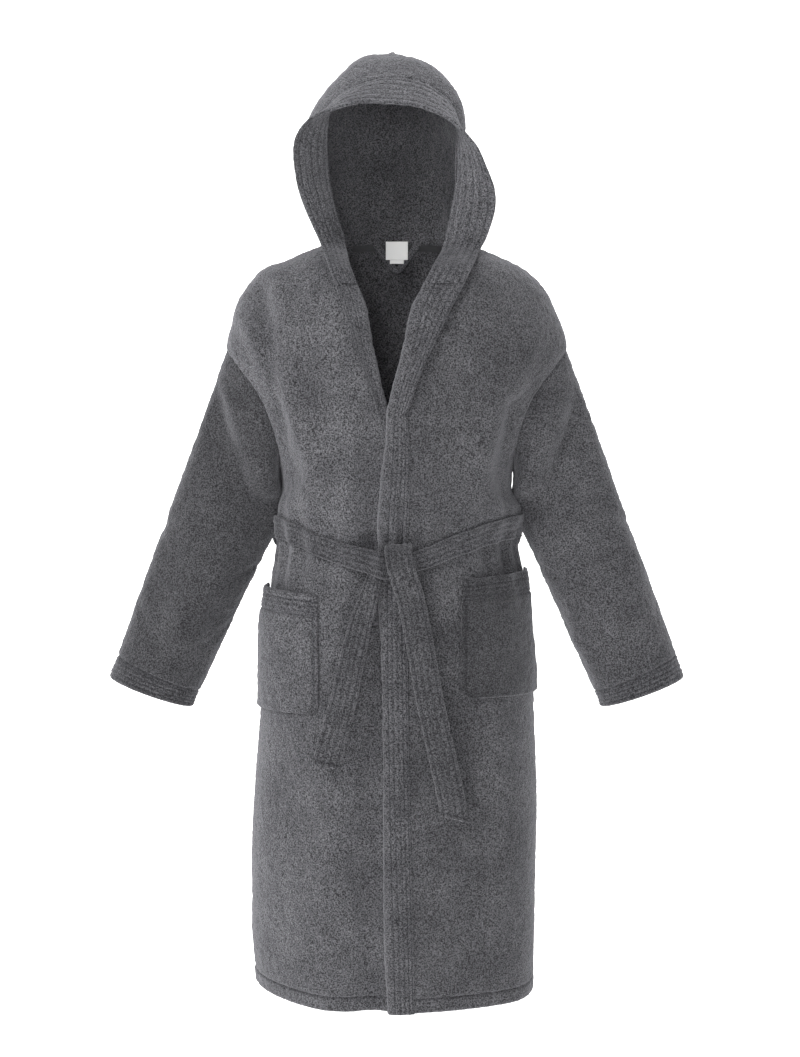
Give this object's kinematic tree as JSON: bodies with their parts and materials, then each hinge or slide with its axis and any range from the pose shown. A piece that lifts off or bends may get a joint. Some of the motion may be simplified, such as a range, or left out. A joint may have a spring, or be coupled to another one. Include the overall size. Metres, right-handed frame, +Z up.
{
  "type": "bathrobe",
  "caption": "Hooded towelling bathrobe in charcoal grey, worn shape, with shawl bands, patch pockets and a knotted belt.",
  "frame": {"origin": "middle of the neck opening, at the height of the shoulder ends of the neck seam, where the wearer's neck and shoulders carry the robe", "axes": "+Z up; the front of the robe faces -Y; the wearer's left is +X"},
  "size_m": [0.8868, 0.3192, 1.459],
  "materials": {
    "towelling": "looped cotton terry, charcoal grey",
    "stitched_bands": "folded cotton terry with rows of stitching",
    "neck_tape": "flat woven cotton tape",
    "label_white": "woven white satin, plain"
  },
  "bodies": {
    "robe": {"back_panel": "towelling", "hem_back": "stitched_bands", "front_panel_right": "towelling", "hem_right": "stitched_bands", "front_panel_left": "towelling", "hem_left": "stitched_bands", "front_band_right": "stitched_bands", "front_band_left": "stitched_bands", "pocket_right": "towelling", "pocket_hem_right": "stitched_bands", "pocket_left": "towelling", "pocket_hem_left": "stitched_bands", "belt_waist": "stitched_bands", "belt_knot": "stitched_bands", "belt_loop_right": "towelling", "belt_loop_left": "towelling", "neck_tape": "neck_tape"},
    "hood": {"hood_right": "towelling", "hood_left": "towelling", "hood_band": "stitched_bands"},
    "sleeve_right": {"sleeve_right": "towelling", "cuff_right": "stitched_bands"},
    "sleeve_left": {"sleeve_left": "towelling", "cuff_left": "stitched_bands"},
    "belt_end_right": {"belt_end_right": "stitched_bands"},
    "belt_end_left": {"belt_end_left": "stitched_bands"},
    "neck_labels": {"neck_label": "label_white", "care_label": "label_white"},
    "hanging_loop": {"hanging_loop": "towelling"}
  },
  "joints": [
    {"name": "hood_fold_back", "type": "hinge", "parent": "robe", "child": "hood", "pos_m": [0, 0.03, 0.005], "axis": [-1, 0, 0], "range_deg": [0, 45]},
    {"name": "sleeve_right_raise", "type": "hinge", "parent": "robe", "child": "sleeve_right", "pos_m": [-0.26, 0, -0.166], "axis": [0, 1, 0], "range_deg": [0, 60]},
    {"name": "sleeve_left_raise", "type": "hinge", "parent": "robe", "child": "sleeve_left", "pos_m": [0.26, 0, -0.166], "axis": [0, -1, 0], "range_deg": [0, 60]},
    {"name": "belt_end_right_swing", "type": "hinge", "parent": "robe", "child": "belt_end_right", "pos_m": [-0.04, -0.1545, -0.5395], "axis": [0, 1, 0], "range_deg": [-25, 20]},
    {"name": "belt_end_left_swing", "type": "hinge", "parent": "robe", "child": "belt_end_left", "pos_m": [0.02, -0.1645, -0.5475], "axis": [0, 1, 0], "range_deg": [-20, 25]},
    {"name": "hanging_loop_flip", "type": "hinge", "parent": "robe", "child": "hanging_loop", "pos_m": [0, 0.0756, 0.009], "axis": [-1, 0, 0], "range_deg": [0, 100]},
    {"name": "neck_label_flip", "type": "hinge", "parent": "hanging_loop", "child": "neck_labels", "pos_m": [0, 0.0736, 0.009], "axis": [-1, 0, 0], "range_deg": [0, 60]}
  ]
}
